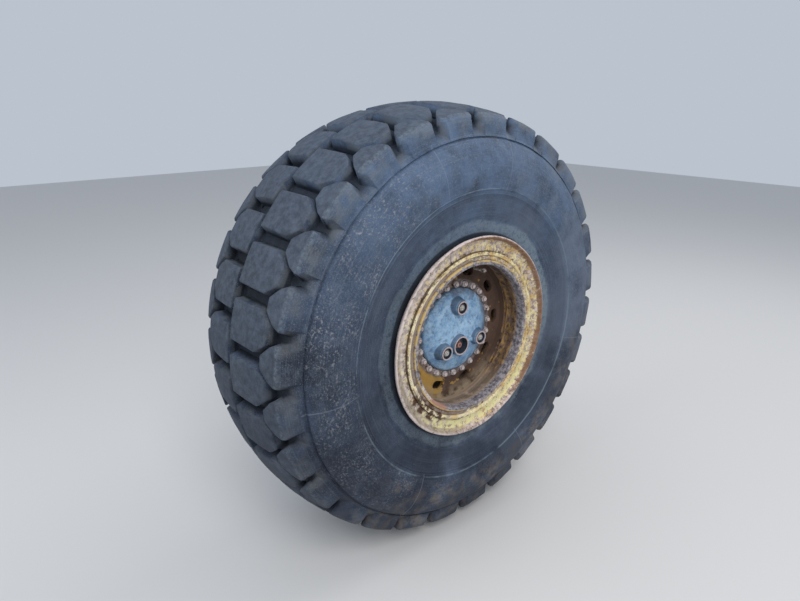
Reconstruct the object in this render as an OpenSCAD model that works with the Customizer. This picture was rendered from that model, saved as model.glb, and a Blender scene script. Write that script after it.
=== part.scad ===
// Earthmover wheel with its planetary hub and brake, on the end of its axle.
// Millimetres. The origin is the centre of the axle flange face, +Y points into
// the machine along the axle, and the wheel stands outboard of the flange at -Y.

/* [Wheel] */
// Distance from the axle flange face out to the middle of the tyre
wheel_offset = 360; // [340:5:420]
// Play between pieces that are slipped together
fit_gap = 0.2; // [0.1:0.05:0.5]
// Play of the hub's bore on its journal
journal_play = 0.05; // [0.02:0.01:0.1]
// Gap between a turning face and a fixed one
run_gap = 6; // [5:0.5:9]

/* [Rim] */
// Width between the side flanges
rim_w = 559; // [530:1:590]
// Radius of the bead seats at their heels
seat_r = 317.5; // [312:0.5:322]
// Length of each bead seat
seat_len = 75; // [60:1:85]
// Slope of the bead seats in degrees
seat_slope = 5; // [3:0.5:6]
// Height of the side flanges above the seats
flange_h = 76.2; // [70:0.2:82]
// Thickness of the side flanges
flange_t = 11; // [8:0.5:14]
// Outer radius of the curl of a side flange
curl_r = 41.5; // [36:0.5:44]
// Angle that the curl turns through
curl_angle = 70; // [55:5:80]
// Depth from the bead seat's heel down to the rim base
band_t = 18; // [16:0.5:22]
// Wall of the rim base
base_t = 12; // [10:0.5:15]
// Wall of the gutter section at the outboard end
gutter_t = 17.5; // [15:0.5:20]
// Length of the gutter section
gutter_len = 90; // [70:5:110]
// Height of the band's outer edge above the seat
band_lip_h = 14.5; // [10:0.5:18]
// Thickness of that edge
band_lip_t = 10; // [7:0.5:13]
// Depth of the lock ring's groove
groove_cut = 8.5; // [6:0.5:9]
// Width of the lock ring's groove
groove_w = 16; // [13:0.5:19]
// Thickness of the gutter lip outside the groove
gutter_lip = 15; // [11:0.5:18]
// Split of the lock ring
ring_split = 7; // [3:0.5:12]
// Where the lock ring is split, in degrees from the top, to the left
split_at = 119; // [0:1:180]
// Length of the driver key
key_len = 100; // [70:5:120]
// Where the driver key sits, in degrees from the top, to the left
key_at = 136; // [0:1:180]

/* [Disc] */
// Distance from the tyre's middle to the disc's outboard face
disc_face = 183; // [160:1:200]
// Thickness of the disc
disc_t = 18; // [14:1:22]
// Radius of the hole that the hub stands through
disc_bore_r = 171; // [170:0.5:173]
// Number of hand holes
hand_holes = 10; // [6:1:12]
// Width of a hand hole
hand_w = 36; // [26:1:44]
// Length of a hand hole
hand_len = 60; // [50:1:80]
// Turn of the first hand hole, in degrees from the top, to the left
hand_at = -18; // [-36:1:36]
// Leg of the weld between the disc and the rim
weld = 11; // [6:1:14]

/* [Tyre] */
// Height of the crown above the bead seats
tyre_h = 536.5; // [520:0.5:560]
// Width over the sidewalls
section_w = 656; // [648:1:672]
// Depth of the grooves at the crown
tread_d = 40; // [30:1:48]
// Radius of curvature of the crown across the tread
crown_r = 900; // [800:10:1200]
// Width over the lugs
tread_w = 554; // [546:1:562]
// Drop from the crown to the line where the lugs end on the sidewall
shoulder_drop = 115; // [108:1:122]
// How far that line lies inboard of the widest part of the sidewall
shoulder_in = 44; // [38:1:50]
// Rounding of the lugs' worn outer edges
shoulder_round = 45; // [35:1:55]
// Height of the slope on which a groove runs out to the sidewall
groove_run = 36; // [28:1:44]
// Number of lugs on each shoulder
lugs = 28; // [24:1:30]
// Turn of the first outboard lug, in degrees from the top, to the left
lug_at = 6.2; // [0:0.1:12]
// Half width of a lug's flanks at the crown's height
flank_half = 69; // [62:1:72]
// Slope of the flanks, as widening for each millimetre of depth
draft = 0.25; // [0.1:0.05:0.4]
// Height of the widest part of the sidewall above the bead seats
belly_h = 302.5; // [280:0.5:320]
// Drop from there to the ring round the sidewall
side_ring_drop = 67; // [50:1:80]
// Radius of the sidewall's curve between the two
side_arc = 195; // [160:5:240]
// How far the sidewall draws in on its way to the bead
low_in = 29; // [24:1:34]
// Radius of that ring's bead
side_ring_t = 4; // [2:0.5:6]
// Thickness of the sidewall at its widest
side_t = 34; // [26:1:42]
// Thickness of rubber and belts under the grooves
under_t = 46; // [36:1:60]

/* [Hub] */
// Bolts that hold the disc
wheel_bolts = 24; // [16:2:26]
// Diameter of their circle
wheel_bolt_pcd = 370; // [368:1:374]
// Diameter of their thread
wheel_bolt_d = 16; // [12:1:18]
// Width of their nuts across flats
wheel_nut_af = 24; // [20:1:26]
// Radius of the hub's wheel flange
hub_flange_r = 206; // [202:1:214]
// Thickness of the wheel flange
hub_flange_t = 26; // [20:1:32]
// Length of the hub behind the wheel flange's face
hub_len = 300; // [280:5:310]
// Radius of the hub's barrel at the gears
hub_drum_r = 166; // [160:1:170]
// Radius of the hub's waist at the bearings
hub_waist_r = 138; // [130:1:150]
// Depth of the gear space inside the hub
gear_depth = 88; // [70:2:96]
// Radius of the gear space
gear_r = 146; // [135:1:148]
// Number of ribs on the hub's waist
hub_ribs = 8; // [4:1:12]
// Radius of the journal in the hub
journal_r = 75; // [65:1:85]

/* [Planet carrier] */
// Radius of the planet carrier's edge
carrier_r = 169; // [160:0.5:170]
// Height of that edge above the hub's face
carrier_edge = 36; // [28:1:44]
// Rise of the dome above the edge
carrier_dome = 22; // [14:1:30]
// Number of planet pins
planets = 3; // [3:1:4]
// Radius of the planet pins' circle
pin_circle_r = 106; // [96:1:108]
// Turn of the first planet pin, in degrees from the top, to the left
pin_at = 6; // [-20:1:20]
// Height of the pin bosses above the edge
pin_boss_h = 46; // [36:1:56]
// Radius of the pin bosses at the top
pin_boss_r = 27.5; // [24:0.5:30]
// Radius of the plugs in the bosses
pin_plug_r = 16; // [12:0.5:19]
// Radius of the filler boss
fill_boss_r = 38.5; // [34:0.5:42]
// Distance of the filler boss from the middle
fill_off = 52; // [48:1:56]
// Turn of the filler boss, in degrees from the top, to the left
fill_at = 171; // [165:1:175]

/* [Axle end] */
// Radius of the axle flange
axle_flange_r = 190; // [184:1:196]
// Thickness of the axle flange
axle_flange_t = 32; // [26:1:38]
// Number of bolts through the axle flange
axle_bolts = 20; // [12:2:24]
// Diameter of their circle
axle_pcd = 330; // [320:1:336]
// Radius of their holes
axle_hole_r = 11; // [9:0.5:12]
// Leg of the weld between the flange and the spindle
axle_weld = 14; // [8:1:18]
// Radius of the spindle behind the flange
spindle_r = 118; // [105:1:130]
// Radius of the half-shaft's bore
shaft_bore_r = 38; // [32:1:44]
// Radius of the locating spigot
spigot_r = 95; // [85:1:105]
// Height of the locating spigot
spigot_h = 12; // [8:1:16]
// Distance from the flange face to the brake housing
brake_at = 79; // [70:1:88]
// Thickness of the brake's piston cover
cover_t = 30; // [26:1:36]
// Radius of the brake housing
brake_r = 226; // [215:1:232]
// Number of cooling fins on the brake housing
fins = 36; // [24:2:48]
// Height of the fins
fin_h = 12; // [8:1:16]
// Thickness of a fin
fin_t = 7; // [5:0.5:10]
// Number of bolts round the brake housing
brake_bolts = 16; // [8:2:20]
// Distance of the oil port and bleed screw from the housing's edge
port_in = 17; // [15:0.5:19]
// Radius of the brake's oil port
port_r = 7; // [5:0.5:8]
// Depth of the brake's oil port
port_depth = 20; // [14:1:22]
// Turn of the oil port, in degrees from the top
port_at = 0; // [-20:1:20]

/* [Hidden] */
$fn = 120;

rim_half = rim_w / 2;
toe_w = rim_half - seat_len;
toe_r = seat_r - seat_len * tan(seat_slope);
lip_r = seat_r + flange_h;
foot_r = seat_r + fit_gap;
flange_out = rim_half + flange_t;
base_r = seat_r - band_t;
curl_mid = curl_r - flange_t / 2;
curl_c = [lip_r - curl_mid * sin(curl_angle) - flange_t / 2, rim_half + curl_r];
band_bore_r = base_r + fit_gap;
band_lip_w = flange_out + fit_gap;
band_end = band_lip_w + band_lip_t;
band_lip_r = seat_r + band_lip_h;
gutter_end = band_end + 2;
groove_out = gutter_end - gutter_lip;
groove_in = groove_out - groove_w;
groove_r = base_r - groove_cut;
ring_face = band_end - 4;
ring_r = seat_r - 2;
mouth_r = base_r - gutter_t;
base_in_r = base_r - base_t;
disc_back = disc_face - disc_t;
hand_r = (wheel_bolt_pcd / 2 + base_in_r) / 2;
tyre_r = seat_r + tyre_h;
shoulder_r = tyre_r - shoulder_drop;
belly_r = seat_r + belly_h;
side_ring_r = belly_r - side_ring_drop;
nut_h = 0.8 * wheel_bolt_d;
clearance_r = wheel_bolt_d / 2 + 1;
hub_face = wheel_offset + disc_back;
hub_in = hub_face - hub_len;
brake_end = hub_in - run_gap;
journal_end = hub_face - gear_depth - run_gap;
pitch = 360 / lugs;

// Places a child drawn round Z, with Z pointing outboard from the axle flange face.
module on_axle() rotate([90, 0, 0]) children();
// The same, measured outboard from the middle of the tyre.
module on_wheel() translate([0, -wheel_offset, 0]) on_axle() children();
// Repeats a child round the axle, where first is in degrees from the top, to the left.
module round_axle(n, first = 0) for (i = [0:n - 1]) rotate([0, 0, 90 + first + i * 360 / n]) children();

function arc(c, r, from, to, n) =
    [for (i = [0:n]) let (a = from + (to - from) * i / n) c + r * [cos(a), sin(a)]];
function mirrored(half) = concat(half, [for (i = [len(half) - 1:-1:0]) [half[i][0], -half[i][1]]]);

// TYRE
// Profiles are [radius, distance from the mid-plane].
belly_w = section_w / 2;
low_r = lip_r + flange_h;
low_w = belly_w - low_in;
side_ring_w = belly_w - side_arc + sqrt(pow(side_arc, 2) - pow(side_ring_drop, 2));
shoulder_w = belly_w - shoulder_in;
high_arc = (pow(shoulder_r - belly_r, 2) + pow(shoulder_in, 2)) / (2 * shoulder_in);
liner_w = belly_w - side_t;
liner_top = tyre_r - tread_d - under_t;
liner_power = 2 / 2.6;
function crown(w) = tyre_r - crown_r + sqrt(crown_r * crown_r - w * w);

bead = concat([[toe_r + fit_gap, toe_w], [foot_r, rim_half - fit_gap]],
    arc(curl_c, curl_r + fit_gap, -90, -50, 4), [[lip_r + curl_r - 10, low_w - 9], [low_r, low_w]]);
sidewall = concat(arc([belly_r, belly_w - side_arc], side_arc, 90 + asin(side_ring_drop / side_arc), 90, 3),
    arc([belly_r, belly_w - high_arc], high_arc, 90, 90 - asin((shoulder_r - belly_r) / high_arc), 4));
crown_step = tread_w / 8;
tread_floor = concat([[shoulder_r + groove_run, shoulder_w - groove_run - 2]],
    [for (i = [3:-1:0]) [crown(i * crown_step) - tread_d, i * crown_step]]);
liner = concat([for (a = [90:-10:0]) [belly_r - 60 + (liner_top - belly_r + 60) * pow(sin(a), liner_power),
        liner_w * pow(cos(a), liner_power)]],
    [[low_r - 10, low_w - side_t], [lip_r - 4, rim_half - 17], [toe_r + 20, toe_w]]);

// The crown's arc turns into the rounded shoulder at this angle.
round_from = asin((tread_w / 2 - shoulder_round) / (crown_r - shoulder_round));
shoulder_c = [tyre_r - crown_r + (crown_r - shoulder_round) * cos(round_from), tread_w / 2 - shoulder_round];
band_top = concat([[shoulder_r + 3, shoulder_w - 1]], arc(shoulder_c, shoulder_round, 90, round_from, 5),
    [for (i = [3:-1:0]) [crown(i * crown_step), i * crown_step]]);
lug_root = 14;
band_under = concat([for (i = [0:3]) [crown(i * crown_step) - tread_d - lug_root, i * crown_step]],
    [[shoulder_r - 8, shoulder_w - 30]]);

// Plans of the lugs at their feet: [distance from the mid-plane, half width] along one side of a lug.
shoulder_plan = [[tread_w / 2 + 14, 54], [tread_w / 2 - 7, 58], [tread_w / 2 - 27, 80],
    [tread_w / 2 - 37, 80], [180, 22]];
block_plan = [[8, 78], [148, 78], [203, 34]];
// Rows of lugs: [plan, side of the tyre, turn in pitches, half width at the crown's height]
LUG_ROWS = [[shoulder_plan, 1, 0, flank_half - 7], [block_plan, 1, 0.5, flank_half],
    [block_plan, -1, 0, flank_half], [shoulder_plan, -1, 0.5, flank_half - 7]];
lug_foot = shoulder_r - 20;
lug_top = tyre_r + 10;

// A lug's block before the crown's curve trims it: its plan, cut by its drafted flanks.
module lug_block(plan, side, half) intersection() {
    outline = concat(plan, [for (i = [len(plan) - 1:-1:0]) [plan[i][0], -plan[i][1]]]);
    reach = max([for (p = plan) p[0]]) + 1;
    translate([lug_foot, 0, 0]) rotate([0, 90, 0]) linear_extrude(lug_top - lug_foot)
        polygon([for (p = outline) [-side * p[0], p[1]]]);
    translate([0, 0, side > 0 ? 0 : -reach]) linear_extrude(reach) polygon([
        for (row = [[1, tyre_r - lug_foot], [-1, tyre_r - lug_foot], [-1, -10], [1, -10]])
            [tyre_r - row[1], row[0] * (half + draft * row[1])]]);
}

module tyre() color("#33383c") on_wheel() {
    rotate_extrude() polygon(mirrored(concat(liner, bead, sidewall, tread_floor)));
    for (side = [-1, 1]) rotate_extrude() translate([side_ring_r, side * side_ring_w])
        circle(r = side_ring_t, $fn = 16);
    intersection() {
        rotate_extrude() polygon(mirrored(concat(band_under, band_top)));
        for (row = LUG_ROWS) round_axle(lugs, lug_at + row[2] * pitch) lug_block(row[0], row[1], row[3]);
    }
}

// RIM
// The rim base: a rolled barrel with a fixed seat at the inboard end and a gutter at the outboard end.
module rim_base() color("#b08d3f") on_wheel() rotate_extrude() polygon([
    [mouth_r, gutter_end - 4], [mouth_r + 3, gutter_end], [base_r - 3, gutter_end],
    [base_r, gutter_end - 3], [base_r, groove_out], [groove_r, groove_out], [groove_r, groove_in],
    [base_r, groove_in], [base_r, -toe_w + 12], [toe_r, -toe_w], [seat_r, -rim_half],
    [seat_r, -band_lip_w], [band_lip_r, -band_lip_w], [band_lip_r, -band_end + 2],
    [band_lip_r - 2, -band_end], [base_in_r + 3, -band_end], [base_in_r, -band_end + 3],
    [base_in_r, gutter_end - gutter_len - 10], [mouth_r, gutter_end - gutter_len]]);

module bead_seat_band() color("#c7a047") on_wheel() rotate_extrude() polygon([
    [band_bore_r, toe_w], [toe_r, toe_w], [seat_r, rim_half], [seat_r, band_lip_w],
    [band_lip_r, band_lip_w], [band_lip_r, band_end - 2], [band_lip_r - 2, band_end],
    [ring_r + 3, band_end], [ring_r + fit_gap, ring_face - 4],
        [band_bore_r, ring_face - 4 - (ring_r - base_r)]]);

// The lock ring, split so that it can be sprung into its groove.
module lock_ring() color("#cfae55") on_wheel() rotate([0, 0, 90 + split_at + asin(ring_split / 2 / base_r)])
    rotate_extrude(angle = 360 - 2 * asin(ring_split / 2 / base_r)) polygon([
        [groove_r + fit_gap, groove_in + fit_gap], [groove_r + fit_gap, groove_out - fit_gap],
        [base_r + fit_gap, groove_out - fit_gap], [base_r + fit_gap, ring_face - 3],
        [base_r + 3, ring_face], [ring_r - 2, ring_face], [ring_r, ring_face - 2],
        [ring_r, ring_face - 4 + fit_gap], [base_r + fit_gap, ring_face - 4 - (ring_r - base_r) + fit_gap],
        [base_r + fit_gap, groove_in + fit_gap]]);

// The key that stops the band from creeping round the base.
key_sweep = key_len / band_lip_r * 180 / PI;
module driver_key() color("#b99a4c") on_wheel() rotate([0, 0, 90 + key_at - key_sweep / 2])
    rotate_extrude(angle = key_sweep) polygon([[base_r + 1, ring_face + fit_gap],
        [ring_r, ring_face + fit_gap], [ring_r + 3, band_end], [band_lip_r - 3, band_end],
        [band_lip_r - 4, band_end + 7], [base_r + 2, band_end + 5]]);

module side_flange(side) mirror([0, 0, side > 0 ? 0 : 1]) rotate_extrude() polygon(concat(
    [[foot_r, rim_half]], arc(curl_c, curl_r, -90, curl_angle - 90, 7),
    arc(curl_c + curl_mid * [sin(curl_angle), -cos(curl_angle)], flange_t / 2,
        curl_angle - 60, curl_angle + 60, 4),
    arc(curl_c, curl_r - flange_t, curl_angle - 90, -90, 7), [[foot_r, flange_out]]));
module outer_side_flange() color("#c9ab63") on_wheel() side_flange(1);
module inner_side_flange() color("#a98a45") on_wheel() side_flange(-1);

// DISC
module hand_hole() translate([hand_r, 0, disc_back - 5]) linear_extrude(disc_t + 10) {
    for (end = [-1, 1]) translate([0, end * (hand_len - hand_w) / 2]) circle(d = hand_w, $fn = 48);
    square([hand_w, hand_len - hand_w], center = true);
}
module wheel_disc() color("#b98f35") on_wheel() difference() {
    rotate_extrude() polygon([[disc_bore_r, disc_back], [base_in_r - weld, disc_back],
        [base_in_r, disc_back - weld], [base_in_r, disc_face + weld], [base_in_r - weld, disc_face],
        [disc_bore_r, disc_face]]);
    round_axle(hand_holes, hand_at) hand_hole();
    round_axle(wheel_bolts) translate([wheel_bolt_pcd / 2, 0, disc_back - 1])
        cylinder(r = clearance_r, h = disc_t + 2, $fn = 32);
}

// VALVE
valve_at = -12;
valve_w = gutter_end - gutter_len + 25;
valve_nut_d = 26;
valve_seat_r = sqrt(pow(mouth_r, 2) - pow(valve_nut_d / 2, 2)) - fit_gap / 2;
stem_r = 6;
elbow_r = mouth_r - 26;
stem_len = 36;
module valve_frame() on_wheel() rotate([0, 0, 90 + valve_at]) children();
module valve_stem() color("#4a4038") valve_frame() {
    translate([elbow_r, 0, valve_w]) rotate([0, 90, 0]) cylinder(r = stem_r, h = valve_seat_r - elbow_r);
    translate([valve_seat_r - 9, 0, valve_w]) rotate([0, 90, 0]) cylinder(d = valve_nut_d, h = 9, $fn = 6);
    translate([elbow_r, 0, valve_w]) sphere(r = stem_r);
    translate([elbow_r, 0, valve_w]) cylinder(r = stem_r, h = stem_len);
}
module valve_cap() color("#2c2c2c") valve_frame() translate([elbow_r, 0, valve_w + stem_len]) {
    cylinder(r = 8, h = 15);
    translate([0, 0, 15]) cylinder(r1 = 8, r2 = 6, h = 3);
}

// HUB
module hub() color("#4d4a44") on_axle() translate([0, 0, hub_in]) difference() {
    union() {
        rotate_extrude() polygon([[0, 0], [hub_drum_r + 4, 0], [hub_drum_r + 4, 22], [hub_waist_r + 6, 36],
            [hub_waist_r, 50], [hub_waist_r, hub_len - gear_depth - 46],
            [hub_drum_r, hub_len - gear_depth - 12],
            [hub_drum_r, hub_len - hub_flange_t - 6], [hub_drum_r + 4, hub_len - hub_flange_t],
            [hub_flange_r - 3, hub_len - hub_flange_t], [hub_flange_r, hub_len - hub_flange_t + 3],
            [hub_flange_r, hub_len - 2], [hub_flange_r - 2, hub_len], [0, hub_len]]);
        round_axle(hub_ribs) rotate([90, 0, 0]) translate([0, 0, -6]) linear_extrude(12)
            polygon([[hub_waist_r - 10, 10], [hub_drum_r, 10], [hub_drum_r, 22],
                [hub_waist_r + 12, 70], [hub_waist_r + 12, hub_len - gear_depth - 60],
                [hub_drum_r - 4, hub_len - gear_depth - 10], [hub_waist_r - 10, hub_len - gear_depth - 10]]);
    }
    translate([0, 0, -1]) cylinder(r = journal_r + journal_play, h = hub_len);
    translate([0, 0, hub_len - gear_depth]) cylinder(r = gear_r, h = gear_depth + 1);
    round_axle(wheel_bolts) translate([wheel_bolt_pcd / 2, 0, hub_len - hub_flange_t - 1])
        cylinder(r = clearance_r, h = hub_flange_t + 2, $fn = 32);
}

// The sun, planet and ring gears, as one plain block in the space that they fill.
module gear_set() color("#6f6f6c") on_axle() translate([0, 0, hub_face - gear_depth + run_gap])
    cylinder(r = gear_r - 1, h = gear_depth - run_gap);

module wheel_bolts() color("#6a5140") on_axle() round_axle(wheel_bolts)
    translate([wheel_bolt_pcd / 2, 0, hub_face]) {
        translate([0, 0, -hub_flange_t - 12]) cylinder(d = wheel_nut_af, h = 12, $fn = 24);
        translate([0, 0, -hub_flange_t - 1])
            cylinder(d = wheel_bolt_d, h = hub_flange_t + disc_t + nut_h + 7, $fn = 24);
        translate([0, 0, disc_t]) cylinder(d = wheel_nut_af / cos(30), h = nut_h, $fn = 6);
    }

// PLANET CARRIER
module at_fill() rotate([0, 0, 90 + fill_at]) translate([fill_off, 0, 0]) children();
module planet_carrier() color("#6495b5") on_axle() translate([0, 0, hub_face]) difference() {
    union() {
        rotate_extrude() polygon([[0, 0], [carrier_r, 0], [carrier_r, carrier_edge - 8],
            [carrier_r - 3, carrier_edge - 2], [carrier_r - 10, carrier_edge + 2],
            [carrier_r - 34, carrier_edge + 9], [carrier_r - 70, carrier_edge + 17],
            [carrier_r - 120, carrier_edge + carrier_dome], [0, carrier_edge + carrier_dome]]);
        round_axle(planets, pin_at) translate([pin_circle_r, 0, 0]) {
            cylinder(r1 = pin_boss_r + 20, r2 = pin_boss_r + 3, h = carrier_edge + pin_boss_h - 8);
            cylinder(r = pin_boss_r, h = carrier_edge + pin_boss_h);
        }
        at_fill() {
            cylinder(r1 = fill_boss_r + 14, r2 = fill_boss_r + 2, h = carrier_edge + pin_boss_h - 10);
            cylinder(r = fill_boss_r, h = carrier_edge + pin_boss_h - 3);
        }
    }
    round_axle(planets, pin_at) translate([pin_circle_r, 0, carrier_edge + pin_boss_h - 14])
        cylinder(r = pin_boss_r - 5.5, h = 20);
    at_fill() translate([0, 0, carrier_edge + pin_boss_h - 31]) cylinder(r = fill_boss_r - 6, h = 40);
}
module planet_pin_plugs() color("#b9b2a6") on_axle() round_axle(planets, pin_at)
    translate([pin_circle_r, 0, hub_face + carrier_edge + pin_boss_h - 14]) {
        cylinder(r = pin_plug_r, h = 8);
        cylinder(r = pin_plug_r * 0.55, h = 13, $fn = 6);
    }
module filler_plug() color("#7c5d4c") on_axle() translate([0, 0, hub_face + carrier_edge + pin_boss_h - 31])
    at_fill() {
        cylinder(r = 17, h = 5);
        cylinder(d = 24, h = 17, $fn = 6);
    }

// SEALS
seal_in_r = hub_waist_r - 36;
seal_out_r = hub_waist_r - 18;
module hub_seal_ring() color("#3d3f40") on_axle() translate([0, 0, hub_in - 2]) difference() {
    cylinder(r = seal_out_r, h = 2);
    translate([0, 0, -1]) cylinder(r = seal_in_r, h = 4);
}
module face_seal() color("#55585a") on_axle() translate([0, 0, brake_end]) difference() {
    cylinder(r = seal_out_r, h = run_gap - 2 - journal_play);
    translate([0, 0, -1]) cylinder(r = seal_in_r, h = run_gap + 2);
}

// AXLE END
module spindle() color("#8a6a2f") on_axle() difference() {
    rotate_extrude() polygon([[0, -spigot_h], [spigot_r - 2, -spigot_h], [spigot_r, 2 - spigot_h],
        [spigot_r, 0], [spindle_r, 0], [spindle_r, brake_end], [journal_r, brake_end],
        [journal_r, journal_end - 3], [journal_r - 3, journal_end], [0, journal_end]]);
    translate([0, 0, -spigot_h - 1]) cylinder(r = shaft_bore_r, h = journal_end + spigot_h + 2);
}

// The flange is a ring that is welded round the spindle.
module axle_flange() color("#8a6a2f") on_axle() difference() {
    rotate_extrude() polygon([[spindle_r, 0], [axle_flange_r - 2, 0], [axle_flange_r, 2],
        [axle_flange_r, axle_flange_t - 2], [axle_flange_r - 2, axle_flange_t],
        [spindle_r + axle_weld, axle_flange_t], [spindle_r, axle_flange_t + axle_weld]]);
    round_axle(axle_bolts) translate([axle_pcd / 2, 0, -1]) cylinder(r = axle_hole_r, h = axle_flange_t + 2);
}

housing_at = brake_at + cover_t;
rebate_at = brake_at + 6;
rebate_in = 26;
rebate_r = brake_r - rebate_in;
brake_bolt_af = 19;
brake_bolt_h = 10;
module brake_housing() color("#8f7338") on_axle() {
    rotate_extrude() polygon([[spindle_r, housing_at], [brake_r, housing_at],
        [brake_r, housing_at + 14], [brake_r - fin_h, housing_at + 18], [brake_r - fin_h, brake_end - 18],
        [brake_r - 4, brake_end - 12], [brake_r - 4, brake_end - 6], [brake_r - 12, brake_end],
        [spindle_r, brake_end]]);
    round_axle(fins) translate([brake_r - fin_h - 4, -fin_t / 2, housing_at + 8])
        cube([fin_h, fin_t, brake_end - housing_at - 22]);
}
module brake_piston_cover() color("#8a6f36") on_axle() difference() {
    rotate_extrude() polygon([[spindle_r, brake_at], [rebate_r - 8, brake_at], [rebate_r, rebate_at],
        [brake_r - 2, rebate_at], [brake_r, rebate_at + 2], [brake_r, housing_at], [spindle_r, housing_at]]);
    rotate([0, 0, 90 + port_at]) translate([brake_r - port_in, 0, rebate_at - 1])
        cylinder(r = port_r, h = port_depth + 1);
}
module brake_housing_bolts() color("#5c4a3c") on_axle() round_axle(brake_bolts, 180 / brake_bolts)
    translate([(rebate_r + brake_r) / 2, 0, rebate_at - brake_bolt_h])
        cylinder(d = brake_bolt_af / cos(30), h = brake_bolt_h, $fn = 6);
module bleed_screw() color("#8d8577") on_axle() rotate([0, 0, 90 + port_at + 360 / brake_bolts])
    translate([brake_r - port_in, 0, rebate_at - 22]) {
        cylinder(r = 4, h = 9);
        translate([0, 0, 8]) cylinder(d = 12, h = 14, $fn = 6);
    }

tyre();
rim_base();
bead_seat_band();
lock_ring();
driver_key();
outer_side_flange();
inner_side_flange();
wheel_disc();
valve_stem();
valve_cap();
hub();
gear_set();
planet_carrier();
planet_pin_plugs();
filler_plug();
wheel_bolts();
hub_seal_ring();
spindle();
axle_flange();
brake_housing();
brake_piston_cover();
brake_housing_bolts();
bleed_screw();
face_seal();
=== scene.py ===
"""Looks of an earthmover wheel on its axle end: worn tyre, rusted yellow rim, dusty blue planetary hub."""

import math

import bmesh
import bpy
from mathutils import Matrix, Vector, noise


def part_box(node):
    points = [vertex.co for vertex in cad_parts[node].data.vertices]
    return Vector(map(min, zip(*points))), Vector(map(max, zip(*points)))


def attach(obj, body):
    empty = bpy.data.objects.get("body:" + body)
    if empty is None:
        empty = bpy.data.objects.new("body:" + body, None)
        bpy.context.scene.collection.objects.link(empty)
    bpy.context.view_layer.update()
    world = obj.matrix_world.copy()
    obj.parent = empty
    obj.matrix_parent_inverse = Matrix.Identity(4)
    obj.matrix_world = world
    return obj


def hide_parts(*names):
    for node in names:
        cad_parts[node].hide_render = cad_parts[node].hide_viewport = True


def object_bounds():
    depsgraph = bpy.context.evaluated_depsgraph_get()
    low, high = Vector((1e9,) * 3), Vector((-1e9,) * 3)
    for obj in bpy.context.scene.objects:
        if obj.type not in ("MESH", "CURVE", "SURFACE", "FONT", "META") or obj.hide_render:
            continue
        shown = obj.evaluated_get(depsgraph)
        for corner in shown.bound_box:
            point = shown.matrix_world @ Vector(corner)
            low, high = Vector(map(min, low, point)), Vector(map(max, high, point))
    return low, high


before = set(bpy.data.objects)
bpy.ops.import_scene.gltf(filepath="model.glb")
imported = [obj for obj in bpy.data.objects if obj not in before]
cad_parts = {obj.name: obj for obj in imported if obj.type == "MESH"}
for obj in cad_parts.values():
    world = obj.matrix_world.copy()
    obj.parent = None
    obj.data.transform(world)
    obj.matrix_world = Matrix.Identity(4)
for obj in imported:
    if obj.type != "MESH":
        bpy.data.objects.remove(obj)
cad_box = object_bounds()
mm = 0.001


# View: the camera stands near the tread side of the wheel, at a walker's height, and looks down a little.
# The floor is pale and plain, and the light is soft and comes from all of the sky.
# Width of the frame and focal length, in pixels.
photo_w = 800
photo_focal = 601
eye = Vector((-1.558, -2.118, 0.877))
look = Vector((0.5988, 0.7317, -0.3256))

bpy.ops.object.camera_add(location=eye, rotation=look.to_track_quat("-Z", "Y").to_euler())
camera = bpy.context.object
camera.name = "camera"
camera.data.sensor_width = 36
camera.data.lens = camera.data.sensor_width * photo_focal / photo_w
bpy.context.scene.camera = camera
bpy.context.scene.view_settings.view_transform = "Standard"


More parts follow.
